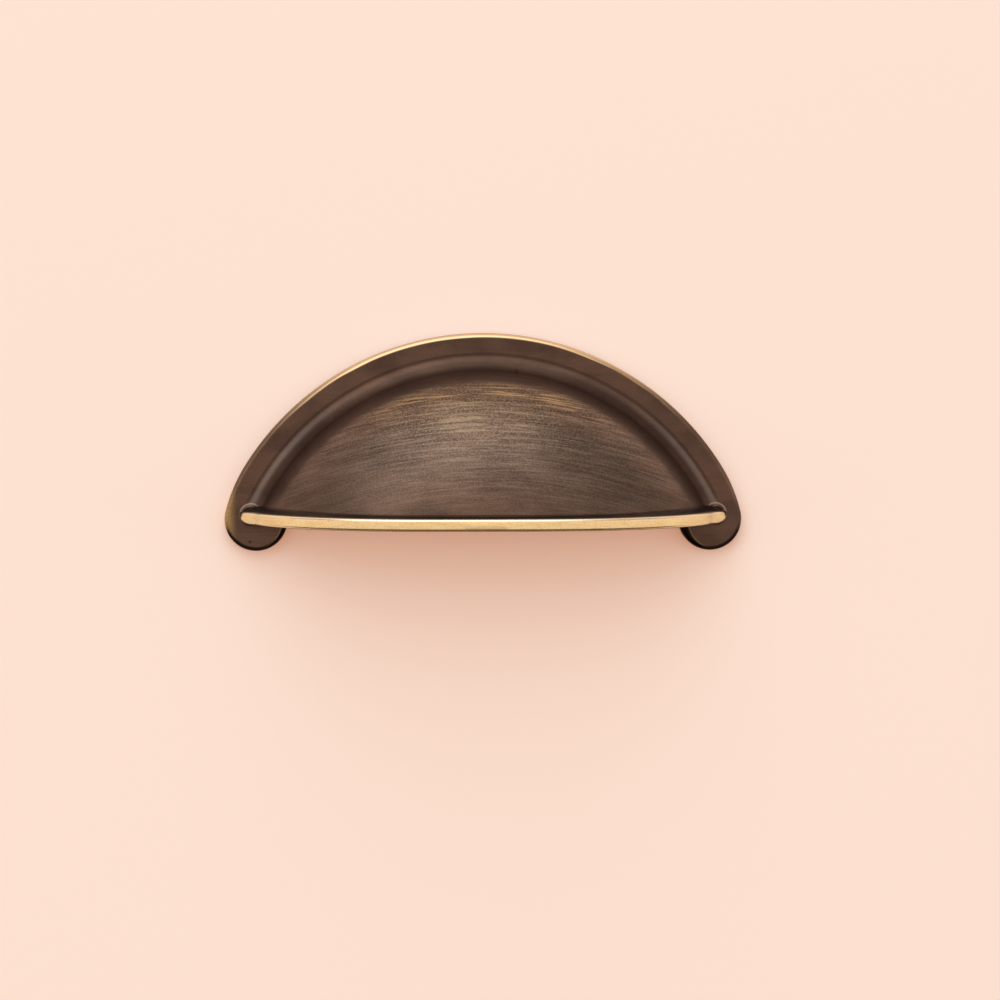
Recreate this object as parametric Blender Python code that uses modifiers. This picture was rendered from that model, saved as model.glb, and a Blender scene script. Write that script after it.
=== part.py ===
"""Half-round cup pull for a drawer: one hollow brass casting.

Metres, +Z up. The origin lies midway between the two screw holes in the mounting plane
y = 0, the front faces -Y and the finger opening faces down.
"""

import math

import bmesh
import bpy
from mathutils import Matrix

MM = 0.001

# Outline of the flange, seen from the front
OVERALL_WIDTH = 87.0 * MM
OVERALL_HEIGHT = 36.5 * MM
EAR_RADIUS = 5.3 * MM
SHOULDER_RADIUS = 26.0 * MM
SHOULDER_TURN = math.radians(18.43)

# Flange section
FLANGE_THICKNESS = 3.0 * MM
FLANGE_EDGE_RADIUS = 0.8 * MM
FLANGE_BAND = 3.3 * MM

# Dome, a turned shape about an axis through the centre of the arch
COVE_RADIUS = 3.0 * MM
COVE_TURN = math.radians(68.0)
DOME_DEPTH = 17.6 * MM
WALL = 2.0 * MM

# Finger lip along the dome's lower edge
LIP_BELOW_EARS = 0.65 * MM
LIP_HEIGHT = 2.05 * MM
LIP_PROUD = 1.2 * MM
LIP_EDGE_RADIUS = 0.45 * MM
LIP_HOLLOW_RADIUS = 0.65 * MM
LIP_HOLLOW_LEAN = math.radians(52.0)
LIP_LEAVES_DOME = 6.5 * MM
LIP_NOSE = 3.6 * MM

# Fixing: blind holes tapped M4 from the back, in posts cast inside the dome's corners
SCREW_SPACING = 64.0 * MM
SCREWS_ABOVE_EARS = 4.0 * MM
POST_RADIUS = 3.6 * MM
TAP_DRILL_RADIUS = 1.65 * MM
TAP_DEPTH = 7.0 * MM
TAP_CHAMFER = 0.4 * MM
DRILL_POINT = math.radians(59.0)

# Small allowances of the construction
OVERRUN = 1.0 * MM
PAD_EASE = 0.05 * MM
PAD_RISE = 0.3 * MM
MERGE = 0.00001

# Facets
TURNED_STEPS = 144
ARCH_STEPS = 52
SHOULDER_STEPS = 5
EAR_STEPS = 22
EDGE_STEPS = 4
COVE_STEPS = 6
DOME_STEPS = 14
LIP_STEPS = 28
FLARE_STEPS = 12
NOSE_STEPS = 8
LIP_EDGE_STEPS = 3
LIP_HOLLOW_STEPS = 3
POST_STEPS = 36
HOLE_STEPS = 28

BRASS = (0.105, 0.066, 0.042, 1.0)

# Places worked out from the sizes above; heights are counted from the screw line
EAR_X = OVERALL_WIDTH / 2 - EAR_RADIUS
EAR_Z = -SCREWS_ABOVE_EARS
TOP_Z = EAR_Z - EAR_RADIUS + OVERALL_HEIGHT
LIP_BOTTOM = EAR_Z - LIP_BELOW_EARS
LIP_MIDDLE = LIP_BOTTOM + LIP_HEIGHT / 2

# The outline's three arcs touch: the ear inside the shoulder, the shoulder inside the arch
SHOULDER_REACH = SHOULDER_RADIUS - EAR_RADIUS
SHOULDER_RISE = OVERALL_HEIGHT - EAR_RADIUS - SHOULDER_RADIUS
ARCH_REACH = (EAR_X**2 + SHOULDER_RISE**2 - SHOULDER_REACH**2) / (
    2 * (SHOULDER_REACH * math.cos(SHOULDER_TURN) + SHOULDER_RISE)
)
ARCH_RADIUS = ARCH_REACH + SHOULDER_RADIUS
ARCH_Z = TOP_Z - ARCH_RADIUS
SHOULDER_END = math.atan2(ARCH_REACH - SHOULDER_RISE, EAR_X) + math.atan2(
    SHOULDER_REACH * math.sin(SHOULDER_TURN), ARCH_REACH + SHOULDER_REACH * math.cos(SHOULDER_TURN)
)
SHOULDER_START = SHOULDER_END - SHOULDER_TURN
SHOULDER_X = ARCH_REACH * math.cos(SHOULDER_END)
SHOULDER_Z = ARCH_Z + ARCH_REACH * math.sin(SHOULDER_END)

# The turned dome
COVE_OUTER = ARCH_RADIUS - FLANGE_BAND
COVE_INNER = COVE_OUTER - COVE_RADIUS * math.sin(COVE_TURN)
COVE_RISE = COVE_RADIUS * (1 - math.cos(COVE_TURN))
CROWN = LIP_MIDDLE - ARCH_Z

# The dome's ellipse leaves the cove at the angle that the cove has turned to
DOME_REACH = COVE_INNER - CROWN
DOME_RISE = DOME_DEPTH - COVE_RISE
COVE_SLOPE = math.tan(COVE_TURN)
DOME_START = DOME_RISE**2 / (DOME_REACH * COVE_SLOPE - 2 * DOME_RISE)
DOME_TALL = DOME_START + DOME_RISE
DOME_WIDE = DOME_TALL * math.sqrt(DOME_REACH / (DOME_START * COVE_SLOPE))
DOME_CENTRE = DOME_TALL - DOME_DEPTH - FLANGE_THICKNESS


def clear_scene():
    for old in list(bpy.data.objects):
        bpy.data.objects.remove(old, do_unlink=True)


def make_collection(name):
    collection = bpy.data.collections.new(name)
    bpy.context.scene.collection.children.link(collection)
    return collection


def add_object(name, mesh, collection, cutter=True):
    thing = bpy.data.objects.new(name, mesh)
    collection.objects.link(thing)
    if cutter:
        thing.hide_render = True
        thing.display_type = "WIRE"
    return thing


def arc(centre_x, centre_z, radius, start, end, steps):
    """Points from one angle to the other, both ends included."""
    points = []
    for step in range(steps + 1):
        angle = start + (end - start) * step / steps
        points.append((centre_x + radius * math.cos(angle), centre_z + radius * math.sin(angle)))
    return points


def flange_outline():
    """Right half from the foot of the ear to the shoulder, arch on top, then the mirrored half."""
    inner_end = math.pi + math.asin((EAR_Z - LIP_MIDDLE) / EAR_RADIUS)
    ear = arc(EAR_X, EAR_Z, EAR_RADIUS, inner_end - 2 * math.pi, SHOULDER_START, EAR_STEPS)
    shoulder = arc(
        SHOULDER_X, SHOULDER_Z, SHOULDER_RADIUS, SHOULDER_START, SHOULDER_END, SHOULDER_STEPS
    )
    right = ear + shoulder[1:]
    arch = arc(0.0, ARCH_Z, ARCH_RADIUS, SHOULDER_END, math.pi - SHOULDER_END, ARCH_STEPS)
    left = [(-x, z) for x, z in reversed(right)]
    return right + arch[1:-1] + left


def make_flange(collection):
    """A flat outline, extruded forwards, with its front edge rounded."""
    shape = bmesh.new()
    corners = [shape.verts.new((x, 0.0, z)) for x, z in flange_outline()]
    face = shape.faces.new(corners)
    grown = bmesh.ops.extrude_face_region(shape, geom=[face])["geom"]
    front = [item for item in grown if isinstance(item, bmesh.types.BMVert)]
    bmesh.ops.translate(shape, verts=front, vec=(0.0, -FLANGE_THICKNESS, 0.0))
    bmesh.ops.recalc_face_normals(shape, faces=shape.faces)
    rim = [edge for edge in shape.edges if all(vert in front for vert in edge.verts)]
    bmesh.ops.bevel(
        shape, geom=rim, offset=FLANGE_EDGE_RADIUS, segments=EDGE_STEPS, profile=0.5,
        affect="EDGES", clamp_overlap=True,
    )
    mesh = bpy.data.meshes.new("cup_pull")
    shape.to_mesh(mesh)
    shape.free()
    return add_object("cup_pull", mesh, collection, cutter=False)


def turn(name, profile, collection, centre, steps):
    """Turn a profile of (radius, y) points, listed from front to back, about an axis along Y."""
    mesh = bpy.data.meshes.new(name)
    shape = bmesh.new()
    points = [shape.verts.new((radius, y, 0.0)) for radius, y in reversed(profile)]
    for first, second in zip(points, points[1:]):
        shape.edges.new((first, second))
    shape.to_mesh(mesh)
    shape.free()
    turned = add_object(name, mesh, collection)
    turned.location = (centre[0], 0.0, centre[1])
    screw = turned.modifiers.new("turn", "SCREW")
    screw.axis = "Y"
    screw.angle = 2 * math.pi
    screw.steps = steps
    screw.render_steps = steps
    screw.use_merge_vertices = True
    screw.merge_threshold = MERGE
    return turned


def dome_arc(wide, tall, end, steps):
    """Elliptical arc from the flat crown out to the depth given, as (radius, y) from the front."""
    last = math.acos((DOME_CENTRE - end) / tall)
    points = []
    for step in range(steps + 1):
        angle = last * step / steps
        points.append((CROWN + wide * math.sin(angle), DOME_CENTRE - tall * math.cos(angle)))
    return points


def dome_section(dome_steps, cove_steps):
    """The dome's outer surface and the cove, as (radius, y) from the crown to the flange."""
    points = dome_arc(DOME_WIDE, DOME_TALL, -FLANGE_THICKNESS - COVE_RISE, dome_steps)
    for step in range(1, cove_steps + 1):
        angle = COVE_TURN * (1 - step / cove_steps)
        radius = COVE_OUTER - COVE_RADIUS * math.sin(angle)
        points.append((radius, -FLANGE_THICKNESS - COVE_RADIUS * (1 - math.cos(angle))))
    return points


def make_dome(collection):
    """The turned dome as a full solid, cut off level inside the lip's height."""
    inside_flange = -FLANGE_THICKNESS / 2
    section = dome_section(DOME_STEPS, COVE_STEPS)
    front = section[0][1]
    profile = [(0.0, front)] + section + [(COVE_OUTER, inside_flange), (0.0, inside_flange)]
    dome = turn("dome_form", profile, collection, (0.0, ARCH_Z), TURNED_STEPS)
    size = 4 * ARCH_RADIUS
    box = bmesh.new()
    bmesh.ops.create_cube(box, size=size)
    bmesh.ops.translate(box, verts=box.verts, vec=(0.0, 0.0, LIP_MIDDLE - size / 2))
    mesh = bpy.data.meshes.new("below_dome")
    box.to_mesh(mesh)
    box.free()
    add_boolean(dome, add_object("below_dome", mesh, collection), "DIFFERENCE")
    return dome


def lip_plan():
    """Right half of the lip in plan: along the dome, then flaring in one arc out to the cove's rim."""
    section = dome_arc(DOME_WIDE, DOME_TALL, -LIP_LEAVES_DOME, 4 * DOME_STEPS)
    points = [(math.sqrt(max(radius**2 - CROWN**2, 0.0)), y) for radius, y in section]
    (before_x, before_y), (x, y) = points[-2:]
    heading = math.atan2(y - before_y, x - before_x)
    away_x = math.sqrt(COVE_OUTER**2 - CROWN**2) - x
    away_y = -FLANGE_THICKNESS - y
    bend = heading - math.atan2(away_y, away_x)
    radius = math.hypot(away_x, away_y) / (2 * math.sin(bend))
    return points + arc(
        x + radius * math.sin(heading), y - radius * math.cos(heading), radius,
        math.pi / 2 + heading, math.pi / 2 + heading - 2 * bend, FLARE_STEPS,
    )[1:]


def lip_path():
    """Points (x, y, z, size) along the lip, evenly spaced, drawn in to a round nose at each end.

    The nose keeps the lip's upper edge level and draws its lower edge up.
    """
    half = lip_plan()
    lengths = [0.0]
    for first, second in zip(half, half[1:]):
        lengths.append(lengths[-1] + math.dist(first, second))
    body = lengths[-1] - LIP_NOSE
    stations = [body * step / LIP_STEPS for step in range(LIP_STEPS + 1)]
    for step in range(1, NOSE_STEPS):
        stations.append(body + LIP_NOSE * math.sin(math.pi / 2 * step / NOSE_STEPS))
    path = []
    index = 0
    for station in stations:
        while lengths[index + 1] < station:
            index += 1
        share = (station - lengths[index]) / (lengths[index + 1] - lengths[index])
        x = half[index][0] + share * (half[index + 1][0] - half[index][0])
        y = half[index][1] + share * (half[index + 1][1] - half[index][1])
        past_body = max(station - body, 0.0) / LIP_NOSE
        size = math.sqrt(1 - past_body**2)
        path.append((x, y, LIP_MIDDLE + LIP_HEIGHT / 2 * (1 - size), size))
    left = [(-x, y, z, size) for x, y, z, size in reversed(path[1:])]
    return left + path


def lip_profile():
    """Section of the lip: outwards along +X, upwards along +Y, about its middle height."""
    half = LIP_HEIGHT / 2
    inside = -(WALL + OVERRUN)
    corner = LIP_PROUD - LIP_EDGE_RADIUS
    lower = arc(corner, -half + LIP_EDGE_RADIUS, LIP_EDGE_RADIUS, -math.pi / 2, 0, LIP_EDGE_STEPS)
    upper = arc(corner, half - LIP_EDGE_RADIUS, LIP_EDGE_RADIUS, 0, math.pi / 2, LIP_EDGE_STEPS)
    hollow = arc(
        corner, half + LIP_HOLLOW_RADIUS, LIP_HOLLOW_RADIUS,
        -math.pi / 2, -math.pi + LIP_HOLLOW_LEAN, LIP_HOLLOW_STEPS,
    )
    out, up = hollow[-1]
    top = up + (out - inside) / math.tan(LIP_HOLLOW_LEAN)
    return [(inside, -half)] + lower + upper + hollow[1:] + [(inside, top)]


def make_lip(collection):
    """The lip's section swept along its plan curve, tapering to a round nose at each end."""
    section = bpy.data.curves.new("lip_section", "CURVE")
    section.dimensions = "2D"
    corners = lip_profile()
    spline = section.splines.new("POLY")
    spline.points.add(len(corners) - 1)
    for point, (out, up) in zip(spline.points, corners):
        point.co = (out, up, 0.0, 1.0)
    spline.use_cyclic_u = True
    section_object = add_object("lip_section", section, collection)

    path = bpy.data.curves.new("lip_path", "CURVE")
    path.dimensions = "3D"
    path.twist_mode = "Z_UP"
    path.bevel_mode = "OBJECT"
    path.bevel_object = section_object
    path.use_fill_caps = True
    route = lip_path()
    spline = path.splines.new("POLY")
    spline.points.add(len(route) - 1)
    for point, (x, y, z, size) in zip(spline.points, route):
        point.co = (x, y, z, 1.0)
        point.radius = size
    path_object = add_object("lip_path", path, collection)
    bpy.context.view_layer.update()
    evaluated = path_object.evaluated_get(bpy.context.evaluated_depsgraph_get())
    mesh = bpy.data.meshes.new_from_object(evaluated)
    shape = bmesh.new()
    shape.from_mesh(mesh)
    bmesh.ops.remove_doubles(shape, verts=shape.verts, dist=MERGE)
    bmesh.ops.recalc_face_normals(shape, faces=shape.faces)
    shape.to_mesh(mesh)
    shape.free()
    lip = add_object("lip_form", mesh, collection)
    lip.matrix_world = path_object.matrix_world
    bpy.data.objects.remove(path_object, do_unlink=True)
    bpy.data.objects.remove(section_object, do_unlink=True)
    return lip


def make_rod(name, collection, x, z, radius, front, steps):
    """A round rod along Y, from behind the cavity's mouth to the front given."""
    back = 2 * OVERRUN
    shape = bmesh.new()
    bmesh.ops.create_cone(
        shape, cap_ends=True, segments=steps, radius1=radius, radius2=radius, depth=back - front
    )
    bmesh.ops.rotate(
        shape, verts=shape.verts, cent=(0.0, 0.0, 0.0), matrix=Matrix.Rotation(math.pi / 2, 3, "X")
    )
    bmesh.ops.translate(shape, verts=shape.verts, vec=(x, (back + front) / 2, z))
    mesh = bpy.data.meshes.new(name)
    shape.to_mesh(mesh)
    shape.free()
    return add_object(name, mesh, collection)


def make_cavity(collection):
    """The hollow behind the dome, less the ears' pads and the screw posts."""
    section = dome_arc(DOME_WIDE - WALL, DOME_TALL - WALL, 0.0, DOME_STEPS)
    profile = [(0.0, section[0][1])] + section + [(section[-1][0], OVERRUN), (0.0, OVERRUN)]
    cavity = turn("cavity", profile, collection, (0.0, ARCH_Z), TURNED_STEPS)
    for side, label in ((-1, "left"), (1, "right")):
        pad = make_rod(
            "ear_pad_" + label, collection, side * EAR_X, EAR_Z, EAR_RADIUS + PAD_EASE,
            -FLANGE_THICKNESS - PAD_RISE, 2 * POST_STEPS,
        )
        post = make_rod(
            "screw_post_" + label, collection, side * SCREW_SPACING / 2, 0.0, POST_RADIUS,
            -FLANGE_THICKNESS - DOME_DEPTH, POST_STEPS,
        )
        add_boolean(cavity, pad, "DIFFERENCE")
        add_boolean(cavity, post, "DIFFERENCE")
    return cavity


def make_screw_hole(label, side, collection):
    """Blind hole with a chamfered mouth and the cone that a drill leaves."""
    mouth = TAP_DRILL_RADIUS + TAP_CHAMFER
    point = TAP_DRILL_RADIUS / math.tan(DRILL_POINT)
    profile = [
        (0.0, -TAP_DEPTH - point),
        (TAP_DRILL_RADIUS, -TAP_DEPTH),
        (TAP_DRILL_RADIUS, -TAP_CHAMFER),
        (mouth, 0.0),
        (mouth, OVERRUN),
        (0.0, OVERRUN),
    ]
    return turn("screw_hole_" + label, profile, collection, (side * SCREW_SPACING / 2, 0.0), HOLE_STEPS)


def add_boolean(target, operand, operation):
    cut = target.modifiers.new(operand.name, "BOOLEAN")
    cut.operation = operation
    cut.object = operand
    cut.solver = "EXACT"
    return cut


def brass_material():
    material = bpy.data.materials.new("aged_brass")
    material.use_nodes = True
    shader = material.node_tree.nodes["Principled BSDF"]
    shader.inputs["Base Color"].default_value = BRASS
    shader.inputs["Metallic"].default_value = 1.0
    shader.inputs["Roughness"].default_value = 0.42
    material.diffuse_color = BRASS
    return material


def main():
    clear_scene()
    parts = make_collection("cup_pull")
    forms = make_collection("forms_and_cutters")
    pull = make_flange(parts)
    add_boolean(pull, make_dome(forms), "UNION")
    add_boolean(pull, make_lip(forms), "UNION")
    add_boolean(pull, make_cavity(forms), "DIFFERENCE")
    for side, label in ((-1, "left"), (1, "right")):
        add_boolean(pull, make_screw_hole(label, side, forms), "DIFFERENCE")
    pull.data.materials.append(brass_material())


main()
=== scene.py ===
import math
from functools import partial

import bmesh
import bpy
from mathutils import Matrix, Vector


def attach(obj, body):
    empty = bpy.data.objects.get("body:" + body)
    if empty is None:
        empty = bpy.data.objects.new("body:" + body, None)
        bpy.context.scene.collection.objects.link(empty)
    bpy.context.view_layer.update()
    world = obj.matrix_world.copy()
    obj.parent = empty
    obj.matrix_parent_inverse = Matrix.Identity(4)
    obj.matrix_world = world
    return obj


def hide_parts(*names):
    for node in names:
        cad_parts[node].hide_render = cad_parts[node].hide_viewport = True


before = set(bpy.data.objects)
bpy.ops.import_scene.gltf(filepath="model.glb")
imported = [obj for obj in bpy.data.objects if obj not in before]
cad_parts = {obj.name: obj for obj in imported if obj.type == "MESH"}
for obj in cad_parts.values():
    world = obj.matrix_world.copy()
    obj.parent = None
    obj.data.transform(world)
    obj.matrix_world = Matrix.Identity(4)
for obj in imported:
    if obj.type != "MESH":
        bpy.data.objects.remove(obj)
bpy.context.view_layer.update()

mm = 0.001


def hexColour(text):
    # sRGB hex to the linear values that the shaders want
    values = []
    for place in (0, 2, 4):
        level = int(text[place:place + 2], 16) / 255
        values.append(level / 12.92 if level <= 0.04045 else ((level + 0.055) / 1.055) ** 2.4)
    return (*values, 1.0)


def addNode(tree, kind, inputs=(), out=0, **settings):
    # inputs come in order, or by name or place in a dictionary: a socket is linked, a value is set
    node = tree.nodes.new("ShaderNode" + kind)
    for name, value in settings.items():
        setattr(node, name, value)
    for name, value in inputs.items() if isinstance(inputs, dict) else enumerate(inputs):
        if isinstance(value, bpy.types.NodeSocket):
            tree.links.new(value, node.inputs[name])
        else:
            node.inputs[name].default_value = value
    return node.outputs[out]


def newMaterial(name):
    material = bpy.data.materials.new(name)
    material.use_nodes = True
    return material, material.node_tree, material.node_tree.nodes["Principled BSDF"]


# lengths in millimetres and angles in degrees
pull = {
    "width": 87.0,
    "height": 36.5,
    "earRadius": 5.3,
    "shoulderRadius": 26.0,
    "shoulderTurn": 18.43,
    "screwsAboveEars": 4.0,
    "flange": 3.0,
    "edgeRadius": 0.8,
    "band": 3.3,
    "coveRadius": 3.0,
    "coveTurn": 68.0,
    "domeDepth": 17.6,
    "wall": 2.0,
    "lipBelowEars": 0.65,
    "lipHeight": 2.05,
    "lipProud": 1.2,
    "lipEdge": 0.45,
    "lipHollow": 0.65,
    "lipLean": 64.0,
    "lipLeavesDome": 6.5,
    "lipNose": 3.2,
    "noseBlunt": 2.4,  # 2 is a round nose, and more is blunter
    "noseFoot": 1.95,
    "noseFillet": 0.9,
    "noseOut": 0.85,
    "noseUp": 0.5,
    "screwSpacing": 64.0,
    "postRadius": 3.6,
    "tapRadius": 1.65,
    "tapDepth": 7.0,
    "tapChamfer": 0.4,
    "drillPoint": 59.0,  # half the angle of the drill's point, in degrees
    "postReach": 30.0,  # longer than the dome is deep, so that the posts meet it
    "padEase": 0.05,  # pads keep the ears solid: this much wider than an ear
    "padRise": 0.3,  # and this much past the flange's front
    "overrun": 1.0,  # how far a cutter goes past the face that it meets, a rod twice and a foot half
    "merge": 0.001,
    "mergeSpun": 0.002,
    "sharpAngle": 28.0,
    "edgeSteps": 8,
    "earSteps": 72,
    "shoulderSteps": 16,
    "archSteps": 90,
    "domeSteps": 84,
    "coveSteps": 24,
    "cavitySteps": 72,
    "turnSteps": 540,
    "lipSteps": 110,
    "cornerSteps": 7,
    "hollowSteps": 6,
    "noseSteps": 24,
    "planSteps": 400,
    "flareSteps": 100,
    "footSteps": 96,
    "filletSteps": 12,
    "rodSteps": 144,
    "postSteps": 120,
    "holeSteps": 96,
}

earX = pull["width"] / 2 - pull["earRadius"]
earZ = -pull["screwsAboveEars"]
topZ = earZ - pull["earRadius"] + pull["height"]
lipBottom = earZ - pull["lipBelowEars"]
lipMiddle = lipBottom + pull["lipHeight"] / 2
noseX = earX + pull["noseOut"]
noseZ = lipMiddle + pull["noseUp"]
reach = pull["shoulderRadius"] - pull["earRadius"]
rise = pull["height"] - pull["earRadius"] - pull["shoulderRadius"]
turnAngle = math.radians(pull["shoulderTurn"])
archReach = (earX**2 + rise**2 - reach**2) / (2 * (reach * math.cos(turnAngle) + rise))
archRadius = archReach + pull["shoulderRadius"]
archZ = topZ - archRadius
shoulderEnd = math.atan2(archReach - rise, earX)
shoulderEnd += math.atan2(reach * math.sin(turnAngle), archReach + reach * math.cos(turnAngle))
shoulderX = archReach * math.cos(shoulderEnd)
shoulderZ = archZ + archReach * math.sin(shoulderEnd)
coveOuter = archRadius - pull["band"]
crown = lipMiddle - archZ

# the dome's ellipse leaves the cove at the angle that the cove has turned to
coveTurn = math.radians(pull["coveTurn"])
coveInner = coveOuter - pull["coveRadius"] * math.sin(coveTurn)
coveRise = pull["coveRadius"] * (1 - math.cos(coveTurn))
domeReach = coveInner - crown
domeRise = pull["domeDepth"] - coveRise
domeStart = domeRise**2 / (domeReach * math.tan(coveTurn) - 2 * domeRise)
domeTall = domeStart + domeRise
domeWide = domeTall * math.sqrt(domeReach / (domeStart * math.tan(coveTurn)))
domeCentre = domeTall - pull["domeDepth"] - pull["flange"]


def meshObject(name, bm, hidden=True):
    mesh = bpy.data.meshes.new(name)
    bm.to_mesh(mesh)
    bm.free()
    thing = bpy.data.objects.new(name, mesh)
    bpy.context.scene.collection.objects.link(thing)
    thing.hide_render = hidden
    return thing


def drawArc(bm, start, centre, degrees, steps, axis=(0, -1, 0)):
    # carries a vertex round a centre and leaves an edge behind at each step
    made = bmesh.ops.spin(
        bm, geom=[start], cent=centre, axis=axis, dvec=(0, 0, 0),
        angle=math.radians(degrees), steps=steps, use_merge=False, use_duplicate=False,
    )
    return next(item for item in made["geom_last"] if isinstance(item, bmesh.types.BMVert))


def drawLine(bm, start, place):
    made = bmesh.ops.extrude_vert_indiv(bm, verts=[start])["verts"][0]
    made.co = place
    return made


def spinFull(bm, steps, centre):
    bmesh.ops.spin(
        bm, geom=bm.verts[:] + bm.edges[:], cent=centre, axis=(0, 1, 0), dvec=(0, 0, 0),
        angle=2 * math.pi, steps=steps, use_merge=True, use_duplicate=False,
    )
    bmesh.ops.remove_doubles(bm, verts=bm.verts[:], dist=pull["mergeSpun"])
    bmesh.ops.recalc_face_normals(bm, faces=bm.faces[:])


def flangeOutline():
    bm = bmesh.new()
    inner = math.degrees(math.asin((earZ - lipMiddle) / pull["earRadius"]))
    turned = Matrix.Rotation(math.radians(180 + inner), 3, (0, -1, 0))
    foot = Vector((earX, 0, earZ)) + turned @ Vector((pull["earRadius"], 0, 0))
    start = bm.verts.new(foot)
    startAngle = math.degrees(shoulderEnd) - pull["shoulderTurn"]
    end = drawArc(bm, start, (earX, 0, earZ), 180 - inner + startAngle, pull["earSteps"])
    end = drawArc(bm, end, (shoulderX, 0, shoulderZ), pull["shoulderTurn"], pull["shoulderSteps"])
    drawArc(bm, end, (0, 0, archZ), 90 - math.degrees(shoulderEnd), pull["archSteps"])
    half = bm.verts[:] + bm.edges[:]
    bmesh.ops.mirror(bm, geom=half, axis="X", merge_dist=pull["merge"])
    bmesh.ops.remove_doubles(bm, verts=bm.verts[:], dist=pull["merge"])
    ends = [vert for vert in bm.verts if len(vert.link_edges) == 1]
    bm.edges.new(sorted(ends, key=lambda vert: vert.co.x))
    return bm, bmesh.ops.contextual_create(bm, geom=bm.edges[:])["faces"][0]


def makeFlange():
    bm, face = flangeOutline()
    front = bmesh.ops.extrude_face_region(bm, geom=[face])["geom"]
    frontVerts = [item for item in front if isinstance(item, bmesh.types.BMVert)]
    bmesh.ops.translate(bm, verts=frontVerts, vec=(0, -pull["flange"], 0))
    bmesh.ops.recalc_face_normals(bm, faces=bm.faces[:])
    known = set(frontVerts)
    rim = [edge for edge in bm.edges if edge.verts[0] in known and edge.verts[1] in known]
    bmesh.ops.bevel(
        bm, geom=rim, offset=pull["edgeRadius"], offset_type="OFFSET", segments=pull["edgeSteps"],
        profile=0.5, affect="EDGES", material=-1, clamp_overlap=False,
    )
    return meshObject("flange", bm)


def domeArc(bm, wide, tall, end, steps):
    # from the crown out to a depth: a circle's arc drawn with spin, then stretched to the ellipse
    start = bm.verts.new((0, -1, 0))
    before = set(bm.verts)
    sweep = math.degrees(math.acos((domeCentre - end) / tall))
    last = drawArc(bm, start, (0, 0, 0), sweep, steps, axis=(0, 0, 1))
    for vert in [start] + [vert for vert in bm.verts if vert not in before]:
        vert.co.x = crown + wide * vert.co.x
        vert.co.y = domeCentre + tall * vert.co.y
    return start, last


def makeDome():
    bm = bmesh.new()
    face = -pull["flange"]
    crownVert, end = domeArc(bm, domeWide, domeTall, face - coveRise, pull["domeSteps"])
    coveCentre = (coveOuter, face - pull["coveRadius"], 0)
    end = drawArc(bm, end, coveCentre, -pull["coveTurn"], pull["coveSteps"], axis=(0, 0, 1))
    end = drawLine(bm, end, (coveOuter, face / 2, 0))
    drawLine(bm, end, (0, face / 2, 0))
    drawLine(bm, crownVert, (0, crownVert.co.y, 0))
    bmesh.ops.translate(bm, verts=bm.verts[:], vec=(0, 0, archZ))
    spinFull(bm, pull["turnSteps"], (0, 0, archZ))
    cutLevel(bm, lipMiddle, keepAbove=True)
    return meshObject("dome", bm)


def cutLevel(bm, level, keepAbove):
    cut = bmesh.ops.bisect_plane(
        bm, geom=bm.verts[:] + bm.edges[:] + bm.faces[:], dist=1e-5,
        plane_co=(0, 0, level), plane_no=(0, 0, -1 if keepAbove else 1), clear_outer=True,
    )
    edges = [item for item in cut["geom_cut"] if isinstance(item, bmesh.types.BMEdge)]
    bmesh.ops.contextual_create(bm, geom=edges)
    bmesh.ops.recalc_face_normals(bm, faces=bm.faces[:])


def lipPlan():
    # right half seen from above: along the dome, then flaring in one arc out to the cove's rim
    last = math.acos((domeCentre + pull["lipLeavesDome"]) / domeTall)
    points = []
    for step in range(pull["planSteps"] + 1):
        angle = last * step / pull["planSteps"]
        radius = crown + domeWide * math.sin(angle)
        points.append((math.sqrt(max(radius**2 - crown**2, 0.0)), domeCentre - domeTall * math.cos(angle)))
    (beforeX, beforeY), (x, y) = points[-2:]
    heading = math.atan2(y - beforeY, x - beforeX)
    awayX = math.sqrt(coveOuter**2 - crown**2) - x
    awayY = -pull["flange"] - y
    bend = heading - math.atan2(awayY, awayX)
    flare = math.hypot(awayX, awayY) / (2 * math.sin(bend))
    for step in range(1, pull["flareSteps"] + 1):
        turned = heading - 2 * bend * step / pull["flareSteps"]
        points.append((
            x + flare * (math.sin(heading) - math.sin(turned)),
            y + flare * (math.cos(turned) - math.cos(heading)),
        ))
    return points


def lipRoute():
    # (x, y, z, size) evenly spaced; the nose keeps the upper edge level and draws the lower one up
    half = lipPlan()
    lengths = [0.0]
    for first, second in zip(half, half[1:]):
        lengths.append(lengths[-1] + math.dist(first, second))
    body = lengths[-1] - pull["lipNose"]
    stations = [body * step / pull["lipSteps"] for step in range(pull["lipSteps"] + 1)]
    for step in range(1, pull["noseSteps"]):
        stations.append(body + pull["lipNose"] * math.sin(math.pi / 2 * step / pull["noseSteps"]))
    route = []
    index = 0
    for station in stations:
        while lengths[index + 1] < station:
            index += 1
        share = (station - lengths[index]) / (lengths[index + 1] - lengths[index])
        x = half[index][0] + share * (half[index + 1][0] - half[index][0])
        y = half[index][1] + share * (half[index + 1][1] - half[index][1])
        past = max(station - body, 0.0) / pull["lipNose"]
        size = math.sqrt(1 - past ** pull["noseBlunt"])
        route.append((x, y, lipMiddle + pull["lipHeight"] / 2 * (1 - size), size))
    return [(-x, y, z, size) for x, y, z, size in reversed(route[1:])] + route


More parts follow.
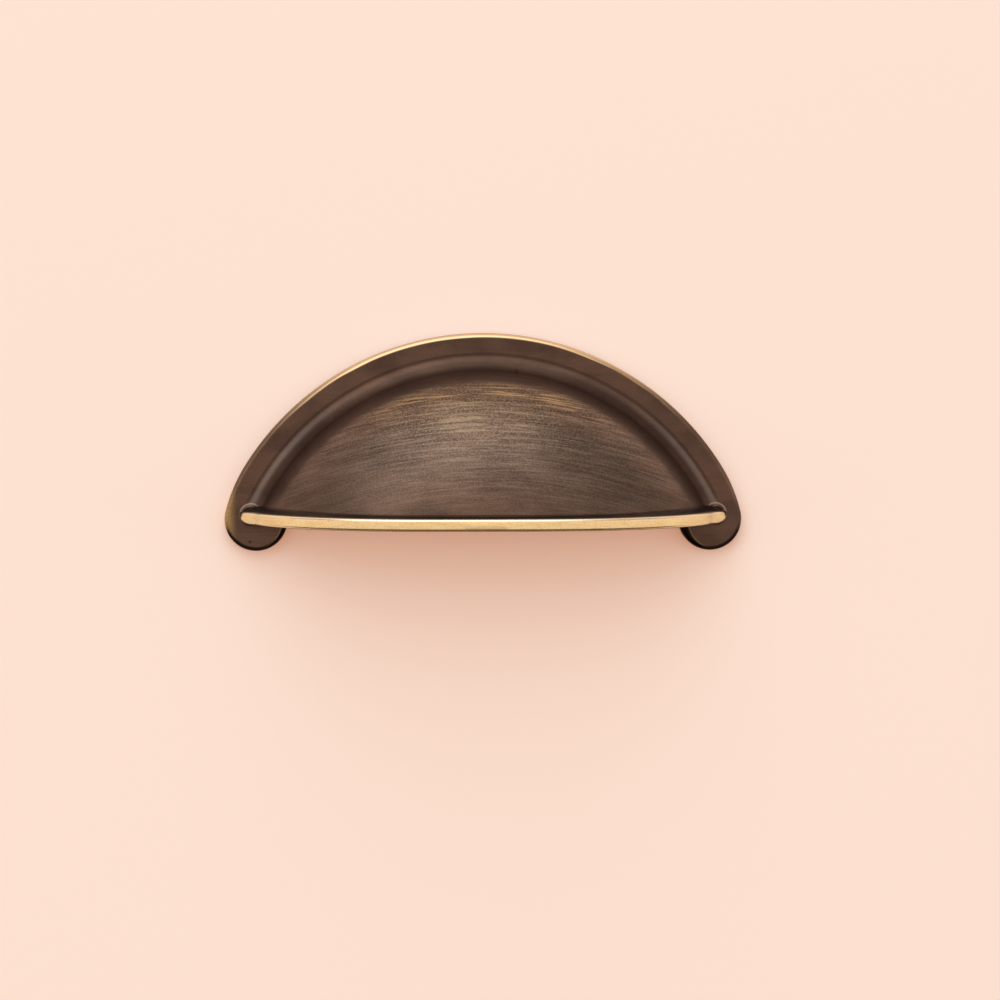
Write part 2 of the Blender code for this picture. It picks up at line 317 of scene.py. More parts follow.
def lipSection():
    # outwards along +X, upwards along +Y, about the middle height
    half = pull["lipHeight"] / 2
    inside = -(pull["wall"] + pull["overrun"])
    corner = pull["lipProud"] - pull["lipEdge"]
    points = [(inside, -half)]

    def arc(height, radius, first, last, steps):
        for step in range(steps + 1):
            angle = math.radians(first + (last - first) * step / steps)
            points.append((corner + radius * math.cos(angle), height + radius * math.sin(angle)))

    arc(-half + pull["lipEdge"], pull["lipEdge"], -90, 0, pull["cornerSteps"])
    arc(half - pull["lipEdge"], pull["lipEdge"], 0, 90, pull["cornerSteps"])
    points.pop()
    hollow = pull["lipHollow"]
    arc(half + hollow, hollow, -90, -180 + pull["lipLean"], pull["hollowSteps"])
    out, up = points[-1]
    points.append((inside, up + (out - inside) / math.tan(math.radians(pull["lipLean"]))))
    return points


def makeLip():
    section = bpy.data.curves.new("lipSection", "CURVE")
    section.dimensions = "2D"
    corners = lipSection()
    spline = section.splines.new("POLY")
    spline.points.add(len(corners) - 1)
    for point, (out, up) in zip(spline.points, corners):
        point.co = (out, up, 0, 1)
    spline.use_cyclic_u = True
    sectionObject = bpy.data.objects.new("lipSection", section)
    bpy.context.scene.collection.objects.link(sectionObject)
    line = bpy.data.curves.new("lipLine", "CURVE")
    line.dimensions = "3D"
    line.twist_mode = "Z_UP"
    line.bevel_mode = "OBJECT"
    line.bevel_object = sectionObject
    line.use_fill_caps = True
    route = lipRoute()
    spline = line.splines.new("POLY")
    spline.points.add(len(route) - 1)
    for point, (x, y, z, size) in zip(spline.points, route):
        point.co = (x, y, z, 1)
        point.radius = size
    lineObject = bpy.data.objects.new("lipLine", line)
    bpy.context.scene.collection.objects.link(lineObject)
    bpy.context.view_layer.update()
    swept = lineObject.evaluated_get(bpy.context.evaluated_depsgraph_get())
    bm = bmesh.new()
    bm.from_mesh(bpy.data.meshes.new_from_object(swept))
    bmesh.ops.remove_doubles(bm, verts=bm.verts[:], dist=pull["merge"])
    bmesh.ops.recalc_face_normals(bm, faces=bm.faces[:])
    bpy.data.objects.remove(lineObject, do_unlink=True)
    bpy.data.objects.remove(sectionObject, do_unlink=True)
    return meshObject("lip", bm)


def makeNoseFoot(name, side):
    # the fillet round the end of the lip, where it stands on the flange
    bm = bmesh.new()
    foot, fillet, face = pull["noseFoot"], pull["noseFillet"], -pull["flange"]
    buried = face + pull["overrun"] / 2
    start = bm.verts.new((0, face - fillet, 0))
    start = drawLine(bm, start, (foot - fillet, face - fillet, 0))
    start = drawArc(bm, start, (foot, face - fillet, 0), -90, pull["filletSteps"], axis=(0, 0, 1))
    start = drawLine(bm, start, (foot, buried, 0))
    drawLine(bm, start, (0, buried, 0))
    spinFull(bm, pull["footSteps"], (0, 0, 0))
    bmesh.ops.translate(bm, verts=bm.verts[:], vec=(side * noseX, 0, noseZ))
    return meshObject(name, bm)


def makeCavity():
    bm = bmesh.new()
    inside = (domeWide - pull["wall"], domeTall - pull["wall"])
    crownVert, end = domeArc(bm, *inside, 0.0, pull["cavitySteps"])
    end = drawLine(bm, end, (end.co.x, pull["overrun"], 0))
    drawLine(bm, end, (0, pull["overrun"], 0))
    drawLine(bm, crownVert, (0, crownVert.co.y, 0))
    bmesh.ops.translate(bm, verts=bm.verts[:], vec=(0, 0, archZ))
    spinFull(bm, pull["turnSteps"], (0, 0, archZ))
    return meshObject("cavity", bm)


def makeRod(name, x, z, radius, front, segments):
    # what stays solid inside the hollow, taken out of the cavity's cutter
    bm = bmesh.new()
    back = 2 * pull["overrun"]
    bmesh.ops.create_cone(
        bm, cap_ends=True, segments=segments, radius1=radius, radius2=radius, depth=back - front,
    )
    bmesh.ops.rotate(bm, verts=bm.verts, cent=(0, 0, 0), matrix=Matrix.Rotation(math.pi / 2, 3, "X"))
    bmesh.ops.translate(bm, verts=bm.verts, vec=(x, (back + front) / 2, z))
    return meshObject(name, bm)


def makeHole(name, x):
    bm = bmesh.new()
    radius = pull["tapRadius"]
    depth, chamfer, overrun = pull["tapDepth"], pull["tapChamfer"], pull["overrun"]
    start = bm.verts.new((0, -depth - radius / math.tan(math.radians(pull["drillPoint"])), 0))
    mouth = radius + chamfer
    profile = ((radius, -depth), (radius, -chamfer), (mouth, 0.0), (mouth, overrun), (0, overrun))
    for out, back in profile:
        start = drawLine(bm, start, (out, back, 0))
    spinFull(bm, pull["holeSteps"], (0, 0, 0))
    bmesh.ops.translate(bm, verts=bm.verts[:], vec=(x, 0, 0))
    return meshObject(name, bm)


def combine(target, operand, operation):
    cut = target.modifiers.new(operand.name, "BOOLEAN")
    cut.operation = operation
    cut.object = operand
    cut.solver = "EXACT"
    cut.material_mode = "TRANSFER"


def joinPull(finishes):
    # one casting: each cutter and each added form carries its own finish into it
    patina, cast, cut = finishes
    flange = makeFlange()
    parts = [(makeDome(), "UNION", patina)]
    ends = (("Left", -1), ("Right", 1))
    parts += [(makeNoseFoot("foot" + side, place), "UNION", patina) for side, place in ends]
    parts.append((makeLip(), "UNION", patina))
    cavity = makeCavity()
    parts.append((cavity, "DIFFERENCE", cast))
    rods = []
    padFront, screwX = -pull["flange"] - pull["padRise"], pull["screwSpacing"] / 2
    for side, place in ends:
        pad = (place * earX, earZ, pull["earRadius"] + pull["padEase"], padFront, pull["rodSteps"])
        post = (place * screwX, 0, pull["postRadius"], -pull["postReach"], pull["postSteps"])
        rods += [makeRod("pad" + side, *pad), makeRod("post" + side, *post)]
        parts.append((makeHole("hole" + side, place * screwX), "DIFFERENCE", cut))
    flange.data.materials.append(patina)
    for rod in rods:
        rod.data.materials.append(cast)
        combine(cavity, rod, "DIFFERENCE")
    for part, operation, finish in parts:
        part.data.materials.append(finish)
        combine(flange, part, operation)
    bpy.context.view_layer.update()
    joined = flange.evaluated_get(bpy.context.evaluated_depsgraph_get())
    bm = bmesh.new()
    bm.from_mesh(bpy.data.meshes.new_from_object(joined))
    for thing in (flange, *rods, *(part for part, operation, finish in parts)):
        bpy.data.objects.remove(thing, do_unlink=True)
    print("joined", len(bm.faces), "faces, open edges:", sum(not edge.is_manifold for edge in bm.edges))
    bmesh.ops.scale(bm, verts=bm.verts[:], vec=(mm, mm, mm))
    body = meshObject("pull_body", bm, hidden=False)
    for finish in finishes:
        body.data.materials.append(finish)
    body.data.shade_smooth()
    body.data.set_sharp_from_angle(angle=math.radians(pull["sharpAngle"]))
    weigh = body.modifiers.new("weigh", "WEIGHTED_NORMAL")
    weigh.mode = "FACE_AREA"
    weigh.keep_sharp = True
    return body


brass = {
    "patina": "655147",
    "patinaDeep": "4a3a34",
    # also the colour of the painted shade in low places and along edges
    "patinaBlack": "1d1613",
    "metal": "e0bd80",
    "rubbed": "c6b8a8",
    "edgeRed": "52382a",
    # a painted cool highlight for the cove
    "cool": "8f9298",
    "lip": "efdcae",
    # a painted highlight for the lip's top
    "lipTop": "fff4e2",
    "rim": "e4c49a",
    "cast": "5d4a3b",
    "castDeep": "4c3d32",
    "ground": "8d7658",
    "cut": "dcc48c",
    # painted shade in the thread's roots
    "cutRootShade": "6d5836",
    "roughness": 0.37,
    "polish": -0.14,  # added to the roughness where the lip and the rim are polished
    "mottleRough": 0.1,
    "bump": 0.02 * mm,
    "markHeight": 2.0,  # the brush marks' height against the grain's
    "heightShare": 0.25,
    "castGrain": 0.45,
    "castCloud": 11.0,
    "castRough": (0.5, 0.66),
    "castBump": 0.04 * mm,
    "cutRough": 0.3,
    "threadPitch": 0.7,
    "threadDepth": 0.2 * mm,
    "brushArc": 75.0,  # radius of the arcs that the brushing follows
    # the oval rubbed lighter on the dome: its centre, and its reach along x, y and z
    "buffCentre": (-2.0, 0.0, 17.5),
    "buffReach": (30.0, 1.0, 12.0),
    # a hooked crescent of painted shade on each ear, edged with a painted highlight line: where its centre
    # lies, out and down from the ear's
    "hookLeft": 0.6,
    "hookRight": 1.2,
    "hookDown": 0.15,
    # the worn rim: how far inside the outline it starts and is full, and how much its line wavers
    "rimBand": (0.72, 0.5),
    "raggedRim": 0.35,
    # casting pits, each a dark ring of painted shade round a bright dot of painted highlight: x, z and
    # radius
    "pits": ((5.5, 20.9, 0.24), (-39.2, -7.7, 0.16)),
    "pitEdge": 0.14,
    "pitDot": (0.5, 0.3),
    # noise cell in mm along x, y and z, where 0 is even, then a shift, detail, roughness and whether
    # it follows the brush arcs; real brush marks are about 0.1 mm wide and the grit finer still, and
    # they are drawn 0.2 to 0.3 mm wide so that they show
    "patterns": {
        "fine": ((9.0, 0, 0.32), 0.0, 2.0, 0.6, True),
        "broad": ((18.0, 0, 1.1), 3.7, 1.0, 0.5, True),
        "grain": ((0.3, 0.21, 0.21), 0.0, 1.0, 0.6, False),
        "mottle": ((8.3333, 8.3333, 4.5455), 0.0, 3.0, 0.5, False),
        "brush": ((8.3333, 0.66667, 0.33333), 0.0, 2.0, 0.5, False),
        "grinding": ((4.0, 1.0, 0.142857), 0.0, 2.0, 0.5, False),
        "lipBrush": ((3.3333, 0, 0.25), 0.0, 2.0, 0.6, False),
    },
    # a ring about a radius, as the distance from it: what is measured, and the radius
    "rings": {
        "creaseRing": ("fromAxis", 43.85),
        "coolRing": ("fromAxis", 43.1),
        "troughRing": ("fromAxis", 41.1),
        "topRing": ("fromAxis", 38.1),
        "hookRing": ("fromHook", 4.9),
        "footRing": ("fromFoot", pull["noseFoot"] - 0.1),
    },
    # each mask is a product of earlier masks and of soft steps over a field from one value to
    # another, where the last two numbers are what the step runs from and to if not 0 and 1; places
    # are in mm, facings go from -1 to 1 and patterns from 0 to 1
    "masks": {
        "onDome": (("fromAxis", 40.1, 38.7), ("y", -5.0, -6.6)),
        "buffed": ("onDome", ("fromCrown", 1.5, 0.3)),
        "onFoot": (("across", 38.0, 38.6), ("y", -4.0, -3.93)),
        "onLip": (("z", -2.5, -2.68), ("y", -3.02, -3.2), ("facingUp", -0.88, -0.6)),
        # a painted highlight line round the foot of each end of the lip
        "footHighlight": (("footRing", 0.2, 0.04), ("y", -2.95, -3.02), ("z", -4.6, -3.6),
                     ("across", 37.4, 38.2)),
        "grooveTop": (("across", 20.0, 38.0, -1.95, -1.6),),
        "lipUnder": (("facingUp", -0.5, -0.75), ("z", -3.4, -3.7), ("y", -3.1, -3.4)),
        # painted shade in the crease where the cove meets the flange, with patina
        "creaseShade": (("creaseRing", 0.46, 0.1), ("y", -2.8, -2.95), ("z", -2.0, 0.5)),
        # painted shade along the cove's trough
        "troughShade": (("troughRing", 2.0, 1.3), ("troughRing", 0.2, 0.6, 0.3, 1.0), ("z", -2.0, 0.5)),
        "frontEdge": (("y", -2.996, -2.93),),
        "rimFront": (("y", -1.9, -2.3), ("x", -38.0, -19.0, 0.12, 1.0), ("x", 36.0, 17.0, 0.08, 1.0),
                     ("z", -3.0, 1.0)),
        # painted shade along the ears' lower edges
        "lowerEdgeShade": (("y", -2.99, -2.85), ("z", -4.5, -6.5)),
        "earWear": (("x", -41.2, -43.7), ("z", 7.0, -1.0), ("grain", 0.2, 0.6, 0.55, 1.0)),
        # a painted cool highlight along the cove
        "coveHighlight": (("coolRing", 0.9, 0.2), ("across", 20.0, 36.0), ("z", -2.3, -1.2)),
        # on each ear's inner side: a crescent of painted shade edged by a painted highlight line
        "onHook": (("z", -4.4, -4.9), ("across", 39.5, 37.0), ("y", -3.3, -3.1)),
        "hookShade": ("onHook", ("fromHook", 5.02, 5.2)),
        "hookHighlight": ("onHook", ("hookRing", 0.16, 0.04)),
        "soft": (("broad", 0.3, 0.7),),
        "lines": (("fine", 0.5, 0.6), ("z", -2.0, 12.0, 0.55, 1.0)),
        "darkLines": ("onDome", ("fine", 0.46, 0.34), ("z", -2.0, 12.0, 0.5, 1.0)),
        "sparkle": (("grain", 0.46, 0.68), ("z", -2.0, 14.0, 0.4, 1.0)),
        "speck": (("grain", 0.55, 0.3),),
        "speckDome": ("onDome", ("z", -2.0, 14.0, 0.04, 0.2)),
        "topZone": ("onDome", ("z", 8.0, 18.0), ("across", 36.0, 12.0)),
        "topBand": (("topRing", 1.1, 0.3), ("across", 30.0, 14.0, 0.0, 0.3)),
        "lowerRub": (("z", -3.5, 3.0, 0.55, 1.0),),
        "sideRub": ("onDome", ("x", 0.0, 26.0, 0.68, 0.88), ("across", 14.0, 30.0, 1.0, 1.25)),
        "mottled": (("mottle", 0.35, 0.7),),
        "brushed": (("brush", 0.45, 0.75),),
        "back": (("y", -0.06, -0.02), ("facingBack", 0.8, 0.95)),
        "groundLines": (("grinding", 0.3, 0.7, 0.3, 0.75),),
        "lipLines": (("lipBrush", 0.35, 0.7),),
        "lipSpecks": (("grain", 0.5, 0.3),),
        # a painted highlight on the lip's upward-facing top
        "lipTopHighlight": (("facingUp", 0.1, 0.6),),
    },
    # painted shade with patina in the groove above the lip
    "grooveShadeAndPatina": (("z", -2.7, -2.55), ("overGroove", 0.12, -0.12), ("y", -3.1, -3.4)),
    # how much each mask counts for in a sum or a darkening; the darkening is painted shade, with patina as
    # well in the groove and crease
    "rubbing": {"even": 0.025, "soft": 0.06, "lines": 0.12, "sparkle": 0.16, "buffed": 0.22},
    "wearing": {
        "even": 0.01, "lines": 0.08, "soft": 0.09, "sparkle": 0.1, "earWear": 0.62, "hookHighlight": 0.12,
    },
    "specks": {"even": 0.12, "darkLines": 0.26},
    "darkening": {
        "grooveShadeAndPatina": 0.62, "creaseShade": 0.42, "troughShade": 0.3, "lowerEdgeShade": 1.0, "hookShade": 1.0, "pits": 1.0,
    },
    # colours in the order in which they lie on one another: mask, strength, colour
    # on the lip, the last layer is a painted highlight along its top
    "lipLayers": (("lipLines", 0.5, "metal"), ("lipSpecks", 0.2, "patina"), ("lipTopHighlight", 0.7, "lipTop")),
    # on the body, the cove and foot highlights and the pits' dots are painted highlights, and the dark
    # layer is painted shade, with patina in the groove and crease
    "layers": (
        ("mottled", 0.6, "patinaDeep"), ("brushed", 0.22, "patinaDeep"), ("specks", 1.0, "patinaBlack"),
        ("rubbed", 1.0, "rubbed"), ("coveHighlight", 0.17, "cool"), ("footHighlight", 0.4, "rubbed"),
        ("worn", 1.0, "metal"), ("dark", 1.0, "patinaBlack"), ("dots", 0.5, "metal"),
        ("lipUnder", 1.0, "edgeRed"), ("back", 1.0, "groundTone"), ("lipFace", 1.0, "lipTone"),
        ("rim", 1.0, "rim"),
    ),
}


def layColours(add, masks, tones, under, layers):
    for mask, strength, colour in layers:
        amount = add("Math", (masks[mask], strength), operation="MULTIPLY")
        over = tones[colour] if colour in tones else hexColour(brass[colour])
        under = add("Mix", {0: amount, 6: under, 7: over}, out=2, data_type="RGBA")
    return under


def softSteps(add, fields, steps):
    # the product of soft steps over fields and of masks that are made already
    product = None
    for part in steps:
        if isinstance(part, str):
            value = fields[part]
        else:
            field, low, high, *ends = part
            first, last = ends or (0.0, 1.0)
            limits = (fields[field], low, high, first, last)
            value = add("MapRange", limits, interpolation_type="SMOOTHSTEP", clamp=True)
        product = value if product is None else add("Math", (product, value), operation="MULTIPLY")
    return product


def measureCasting(add):
    # where a point of the surface lies, in millimetres, and which way it faces
    coords = add("TexCoord", out="Object")
    point = add("VectorMath", (coords, (1 / mm, 1 / mm, 1 / mm)), operation="MULTIPLY")
    places = add("SeparateXYZ", (point,)).node.outputs
    faces = add("SeparateXYZ", (add("NewGeometry", out="Normal"),)).node.outputs
    fields = {"x": places[0], "y": places[1], "z": places[2], "facingUp": faces[2], "facingBack": faces[1]}
    fields["across"] = add("Math", (fields["x"],), operation="ABSOLUTE")
    flat = add("VectorMath", (point, (1, 0, 1)), operation="MULTIPLY")
    mirrored = add("CombineXYZ", (fields["across"], 0.0, fields["z"]))
    hookZ = earZ - brass["hookDown"]
    hooks = []
    for place in (-earX - brass["hookLeft"], earX + brass["hookRight"]):
        hooks.append(add("VectorMath", (flat, (place, 0, hookZ)), out="Value", operation="DISTANCE"))
    fields["fromHook"] = add("Math", hooks, operation="MINIMUM")
    fields["fromAxis"] = add("VectorMath", (flat, (0, 0, archZ)), out="Value", operation="DISTANCE")
    fields["fromFoot"] = add("VectorMath", (mirrored, (noseX, 0, noseZ)), out="Value", operation="DISTANCE")
    fromCrown = add("VectorMath", (flat, brass["buffCentre"]), operation="SUBTRACT")
    fromCrown = add("VectorMath", (fromCrown, brass["buffReach"]), operation="DIVIDE")
    fields["fromCrown"] = add("VectorMath", (fromCrown,), out="Value", operation="LENGTH")
    for name, (field, radius) in brass["rings"].items():
        off = add("Math", (fields[field], radius), operation="SUBTRACT")
        fields[name] = add("Math", (off,), operation="ABSOLUTE")
    # each pit is a ring of painted shade round a dot of painted highlight
    pits, dots = 0.0, 0.0
    dotOut, dotIn = brass["pitDot"]
    for pitX, pitZ, size in brass["pits"]:
        fields["fromPit"] = add("VectorMath", (flat, (pitX, 0, pitZ)), out="Value", operation="DISTANCE")
        pit = softSteps(add, fields, (("fromPit", size + brass["pitEdge"], size),))
        dot = softSteps(add, fields, (("fromPit", dotOut * size, dotIn * size),))
        pits = add("Math", (pits, pit), operation="MAXIMUM")
        dots = add("Math", (dots, dot), operation="MAXIMUM")
    fields.update(pits=pits, dots=dots)
    return point, fields


def weavePatterns(add, point, fields):
    # the brush marks run across the pull on gentle arcs
    lift = add("Math", (fields["x"], fields["x"]), operation="MULTIPLY")
    arcZ = add("Math", (lift, 0.5 / brass["brushArc"], fields["z"]), operation="MULTIPLY_ADD")
    arced = add("CombineXYZ", (fields["x"], fields["y"], arcZ))
    for name, (cell, shift, detail, roughness, onArcs) in brass["patterns"].items():
        scale = tuple(1 / size if size else 0.0 for size in cell)
        source = (arced if onArcs else point, scale, (0, shift, 0))
        place = add("VectorMath", source, operation="MULTIPLY_ADD")
        noise = {"Vector": place, "Scale": 1.0, "Detail": detail, "Roughness": roughness}
        fields[name] = add("TexNoise", noise, noise_dimensions="3D")


def gatherMasks(add, masks):
    rubbing, wearing, specks = brass["rubbing"], brass["wearing"], brass["specks"]
    for name, steps in brass["masks"].items():
        masks[name] = softSteps(add, masks, steps)

    # painted shade, with patina, in the groove over the lip, which widens towards its ends
    masks["overGroove"] = add("Math", (masks["z"], masks["grooveTop"]), operation="SUBTRACT")
    masks["grooveShadeAndPatina"] = softSteps(add, masks, brass["grooveShadeAndPatina"])
    offFoot = add("Math", (1.0, masks["onFoot"]), operation="SUBTRACT")
    masks["lipFace"] = add("Math", (masks["onLip"], offFoot), operation="MULTIPLY")

    # the rim is worn bright along a slightly ragged line
    waver = add("Math", (masks["broad"], 0.5), operation="SUBTRACT")
    ragged = (waver, brass["raggedRim"], masks["fromAxis"])
    masks["ragged"] = add("Math", ragged, operation="MULTIPLY_ADD")
    starts, full = brass["rimBand"]
    outer = softSteps(add, masks, (("ragged", archRadius - starts, archRadius - full),))
    edge = add("Math", (masks["frontEdge"], outer), operation="MAXIMUM")
    masks["rim"] = add("Math", (edge, masks["rimFront"]), operation="MULTIPLY")

    # rubbed grey-brown over the dome
    rub = rubbing["even"]
    for name in ("soft", "lines", "sparkle"):
        rub = add("Math", (masks[name], rubbing[name], rub), operation="MULTIPLY_ADD")
    where = (masks["buffed"], rubbing["buffed"], masks["sideRub"])
    where = add("Math", where, operation="MULTIPLY_ADD")
    rub = add("Math", (rub, masks["lowerRub"]), operation="MULTIPLY")
    masks["rubbed"] = add("Math", (rub, where), operation="MULTIPLY")

    # worn through to gold lines where the dome's top stands proud, and on the left ear, and a painted
    # highlight line along each ear's hook
    gold = add("Math", (masks["soft"], wearing["soft"], wearing["lines"]), operation="MULTIPLY_ADD")
    gold = add("Math", (gold, masks["topBand"]), operation="ADD")
    gold = add("Math", (masks["lines"], gold, wearing["even"]), operation="MULTIPLY_ADD")
    gold = add("Math", (masks["sparkle"], wearing["sparkle"], gold), operation="MULTIPLY_ADD")
    gold = add("Math", (masks["topZone"], gold), operation="MULTIPLY")
    for name in ("earWear", "hookHighlight"):
        gold = add("Math", (masks[name], wearing[name], gold), operation="MULTIPLY_ADD")
    masks["worn"] = gold

    # dark specks and lines left by the bath, and painted shade in every low place, along the ears' lower
    # edges and hooks and in the pits, with patina as well in the groove and crease
    speck = add("Math", (masks["speckDome"], specks["even"]), operation="ADD")
    speck = add("Math", (masks["speck"], speck), operation="MULTIPLY")
    speck = (masks["darkLines"], specks["darkLines"], speck)
    masks["specks"] = add("Math", speck, operation="MULTIPLY_ADD")
    dark = 0.0
    for name, weight in brass["darkening"].items():
        share = add("Math", (masks[name], weight), operation="MULTIPLY")
        dark = add("Math", (dark, share), operation="MAXIMUM")
    masks["dark"] = dark


def makePatina():
    # cast brass browned in a bath, brushed across and rubbed back by hand: brown and soft in the low
    # places, grey with gold threads on the crown, and bare bright metal along the lip and the rim; painted
    # shade darkens the groove, crease, trough, the ears' lower edges and hooks and the pits, and painted
    # highlights lie on the lip's top, along the cove, round the lip's ends, on the ear hooks and in the
    # pits
    patina, tree, shader = newMaterial("patinatedBrass")
    add = partial(addNode, tree)
    point, masks = measureCasting(add)
    weavePatterns(add, point, masks)
    gatherMasks(add, masks)
    cast, ground = hexColour(brass["cast"]), hexColour(brass["ground"])
    groundTone = add("Mix", {0: masks["groundLines"], 6: cast, 7: ground}, out=2, data_type="RGBA")
    lipTone = layColours(add, masks, {}, hexColour(brass["lip"]), brass["lipLayers"])
    tones = {"groundTone": groundTone, "lipTone": lipTone}
    base = layColours(add, masks, tones, hexColour(brass["patina"]), brass["layers"])
    tree.links.new(base, shader.inputs["Base Color"])
    shader.inputs["Metallic"].default_value = 1.0
    gold = add("Math", (masks["lipFace"], masks["rim"]), operation="MAXIMUM")
    rough = add("Math", (gold, brass["polish"], brass["roughness"]), operation="MULTIPLY_ADD")
    rough = add("Math", (masks["mottle"], brass["mottleRough"], rough), operation="MULTIPLY_ADD")
    tree.links.new(rough, shader.inputs["Roughness"])
    marks = add("Math", (masks["fine"], masks["onDome"]), operation="MULTIPLY")
    marks = add("Math", (marks, brass["markHeight"], masks["grain"]), operation="MULTIPLY_ADD")
    height = add("Math", (marks, brass["heightShare"]), operation="MULTIPLY")
    bump = add("Bump", {"Strength": 0.5, "Distance": brass["bump"], "Height": height})
    tree.links.new(bump, shader.inputs["Normal"])
    return patina


def makeCast():
    # brass as it left the mould, browned in the same bath and never rubbed: dull, clouded and
    # finely pebbled, with pebbles about twice the real size so that they show
    cast, tree, shader = newMaterial("castBrass")
    add = partial(addNode, tree)
    coords = add("TexCoord", out="Object")
    grain = add("TexNoise", {"Vector": coords, "Scale": 1 / mm / brass["castGrain"], "Detail": 2.0})
    cloud = add("TexNoise", {"Vector": coords, "Scale": 1 / mm / brass["castCloud"], "Detail": 3.0})
    fields = {"grain": grain, "cloud": cloud}
    clouded = softSteps(add, fields, (("cloud", 0.38, 0.62),))
    light, deep = hexColour(brass["cast"]), hexColour(brass["castDeep"])
    base = add("Mix", {0: clouded, 6: light, 7: deep}, out=2, data_type="RGBA")
    tree.links.new(base, shader.inputs["Base Color"])
    shader.inputs["Metallic"].default_value = 1.0
    rough = softSteps(add, fields, (("grain", 0.3, 0.7, *brass["castRough"]),))
    tree.links.new(rough, shader.inputs["Roughness"])
    bump = add("Bump", {"Strength": 0.6, "Distance": brass["castBump"], "Height": grain})
    tree.links.new(bump, shader.inputs["Normal"])
    return cast


def makeCut():
    # bare brass where the tap has cut it after the bath: painted highlight on the crests and painted shade
    # in the roots, at the pitch of an M4 thread
    cut, tree, shader = newMaterial("cutBrass")
    add = partial(addNode, tree)
    depth = add("SeparateXYZ", (add("TexCoord", out="Object"),)).node.outputs[1]
    turns = add("Math", (depth, 2 * math.pi / mm / brass["threadPitch"]), operation="MULTIPLY")
    fields = {"wave": add("Math", (turns,), operation="SINE")}
    crest = softSteps(add, fields, (("wave", -0.8, 0.8),))
    deep, bright = hexColour(brass["cutRootShade"]), hexColour(brass["cut"])
    base = add("Mix", {0: crest, 6: deep, 7: bright}, out=2, data_type="RGBA")
    tree.links.new(base, shader.inputs["Base Color"])
    shader.inputs["Metallic"].default_value = 1.0
    shader.inputs["Roughness"].default_value = brass["cutRough"]
    bump = add("Bump", {"Strength": 0.8, "Distance": brass["threadDepth"], "Height": crest})
    tree.links.new(bump, shader.inputs["Normal"])
    return cut


print("pull: finishes")
finishes = (makePatina(), makeCast(), makeCut())
print("pull: forms")
pullBody = joinPull(finishes)
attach(pullBody, "root")
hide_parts("cup_pull")


# lengths in metres, but for the inset of the patch behind the pull, in millimetres
stage = {
    "wallColour": "fde4d2",
    "wallPaint": "d7edf5",  # what the lamp lights, and so what the pull shades
    "wallGlow": "b1714f",  # the even part of the pale wall, as the camera and the metal see it
    "wallSize": 3.0,
    "wallSteps": 96,
    "wallRough": 0.9,
    "wallBehind": 0.05 * mm,
    "patchInset": 0.3,
    "keyElevation": 52.0,
    "keyAzimuth": -14.0,
    "keyDistance": 3.0,
    "keyWide": 2.8,
    "keyTall": 3.8,
    "keyPower": 50.0,
    "keyColour": "fffcf4",
    "frontColour": "ffead8",  # a band of the room level with the pull
    "frontLight": 1.3,
    "underColour": "5a4a40",
    "upperColour": "9f958e",
    "underBand": (-0.24, -0.1),  # the heights on the unit sphere over which the room changes
    "upperBand": (0.12, 0.45),
    "sensor": 36.0,  # millimetres, as the lens is
    "clipStart": 0.05,
    "elevation": 4.05,
    "azimuth": -1.75,
    "distance": 0.7,
    "across": 0.1688,
    "aimX": 0.00287,
    "aimZ": -0.00096,
}


def fromAngles(azimuth, elevation):
    turn, tilt = math.radians(azimuth), math.radians(elevation)
    level = math.cos(tilt)
    return Vector((math.sin(turn) * level, -math.cos(turn) * level, math.sin(tilt)))


def wallMaterial(name, behindPull):
    # matt emulsion, rolled on smooth: an even pale glow for eye and metal, and a paint that takes
    # the lamp and the shadow
    material, tree, shader = newMaterial(name)
    add = partial(addNode, tree)
    shader.inputs["Base Color"].default_value = hexColour(stage["wallPaint"])
    shader.inputs["Roughness"].default_value = stage["wallRough"]
    shader.inputs["Specular IOR Level"].default_value = 0.0
    rays = add("LightPath").node.outputs
    camera = rays["Is Camera Ray"]
    seen = add("Math", (camera, rays["Is Glossy Ray"]), operation="MAXIMUM")
    glow = add("Emission", {"Color": hexColour(stage["wallGlow"]), "Strength": seen})
    paint = add("AddShader", (shader.outputs[0], glow))
    away = add("NewGeometry", out="Backfacing")
    if behindPull:
        unseen = add("Math", (1.0, camera), operation="SUBTRACT")
        away = add("Math", (away, unseen), operation="MAXIMUM")
    wall = add("MixShader", (away, paint, add("BsdfTransparent")))
    tree.links.new(wall, tree.nodes["Material Output"].inputs["Surface"])
    return material


def makeWall():
    # the patch behind the pull lets light through, so that the hollow back can be looked at
    bm, patch = flangeOutline()
    bmesh.ops.inset_region(bm, faces=[patch], thickness=stage["patchInset"], use_even_offset=True)
    outside = [vert for vert in bm.verts if vert not in patch.verts]
    bmesh.ops.delete(bm, geom=outside, context="VERTS")
    bmesh.ops.scale(bm, verts=bm.verts[:], vec=(mm, mm, mm))
    outer = bmesh.ops.create_circle(
        bm, cap_ends=False, segments=stage["wallSteps"], radius=stage["wallSize"],
    )["verts"]
    bmesh.ops.rotate(bm, verts=outer, cent=(0, 0, 0), matrix=Matrix.Rotation(math.pi / 2, 3, "X"))
    bmesh.ops.triangle_fill(
        bm, use_beauty=True, use_dissolve=False, edges=bm.edges[:], normal=(0, -1, 0),
    )
    bmesh.ops.translate(bm, verts=bm.verts[:], vec=(0, stage["wallBehind"], 0))
    patch.material_index = 1
    for face in bm.faces:
        face.normal_update()
    bmesh.ops.reverse_faces(bm, faces=[face for face in bm.faces if face.normal.y > 0])
    wall = meshObject("wall", bm, hidden=False)
    wall.data.materials.append(wallMaterial("paintedWall", behindPull=False))
    wall.data.materials.append(wallMaterial("paintedWallBehindPull", behindPull=True))


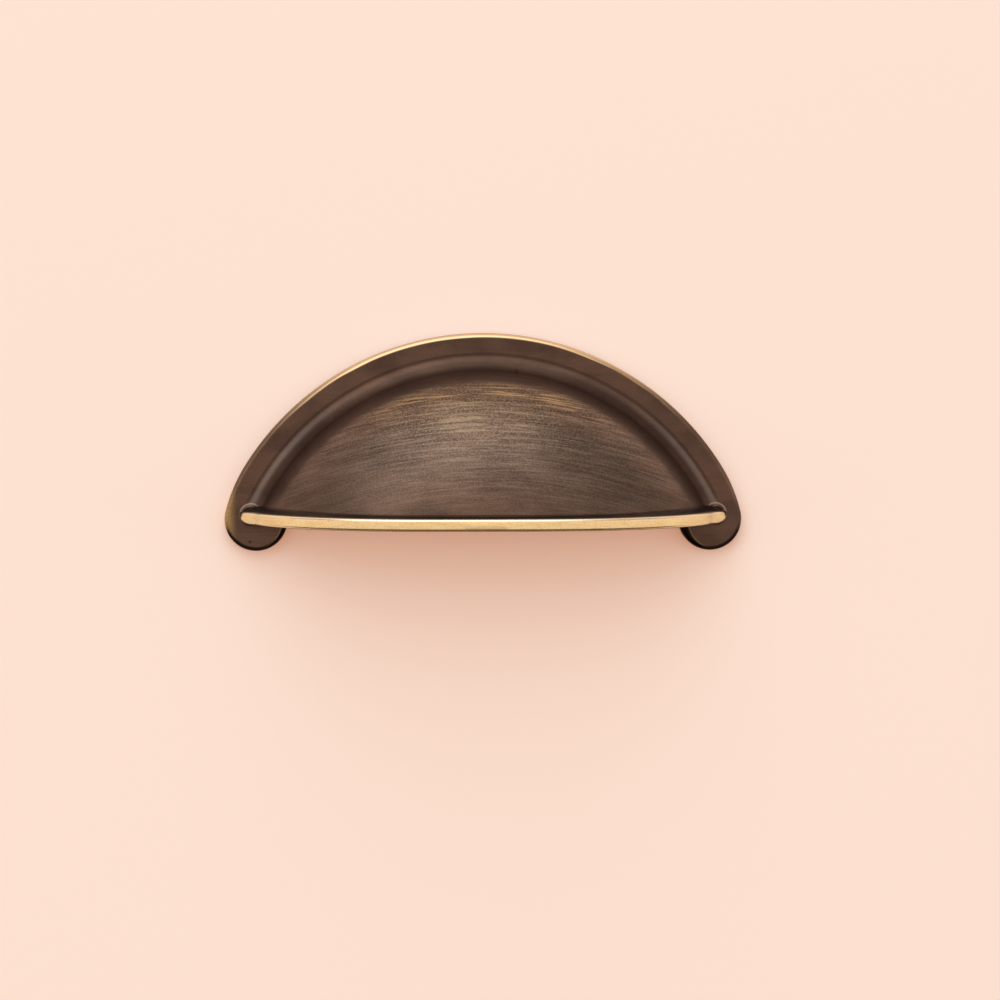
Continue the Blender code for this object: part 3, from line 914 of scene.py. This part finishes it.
def makeKey():
    lamp = bpy.data.lights.new("key", "AREA")
    lamp.shape = "RECTANGLE"
    lamp.size, lamp.size_y = stage["keyWide"], stage["keyTall"]
    lamp.energy = stage["keyPower"]
    lamp.color = hexColour(stage["keyColour"])[:3]
    thing = bpy.data.objects.new("key", lamp)
    bpy.context.scene.collection.objects.link(thing)
    away = fromAngles(stage["keyAzimuth"], stage["keyElevation"])
    thing.location = away * stage["keyDistance"]
    thing.rotation_euler = (-away).to_track_quat("-Z", "Y").to_euler()


def makeWorld():
    # a room that is dark below, bright level with the pull and dim above, and the wall's own colour
    # wherever the camera looks past the wall
    world = bpy.data.worlds.new("room")
    bpy.context.scene.world = world
    world.use_nodes = True
    tree = world.node_tree
    add = partial(addNode, tree)
    fill = tree.nodes["Background"]
    direction = add("TexCoord", out="Generated")
    fields = {"height": add("SeparateXYZ", (direction,)).node.outputs[2]}
    tint = hexColour(stage["underColour"])
    for band, colour in (("underBand", "frontColour"), ("upperBand", "upperColour")):
        upward = softSteps(add, fields, (("height", *stage[band]),))
        tint = add("Mix", {0: upward, 6: tint, 7: hexColour(stage[colour])}, out=2, data_type="RGBA")
    tree.links.new(tint, fill.inputs["Color"])
    fill.inputs["Strength"].default_value = stage["frontLight"]
    seen = add("Background", {"Color": hexColour(stage["wallColour"]), "Strength": 1.0})
    room = add("MixShader", (add("LightPath", out="Is Camera Ray"), fill.outputs[0], seen))
    tree.links.new(room, tree.nodes["World Output"].inputs["Surface"])


def makeCamera():
    camera = bpy.data.cameras.new("camera")
    camera.sensor_width = stage["sensor"]
    camera.lens = stage["sensor"] * stage["distance"] / stage["across"]
    camera.clip_start = stage["clipStart"]
    thing = bpy.data.objects.new("camera", camera)
    bpy.context.scene.collection.objects.link(thing)
    away = fromAngles(stage["azimuth"], stage["elevation"])
    thing.location = Vector((stage["aimX"], 0, stage["aimZ"])) + away * stage["distance"]
    thing.rotation_euler = (-away).to_track_quat("-Z", "Y").to_euler()
    bpy.context.scene.camera = thing


print("stage")
makeWall()
makeWorld()
makeKey()
makeCamera()
bpy.context.scene.view_settings.view_transform = "Standard"
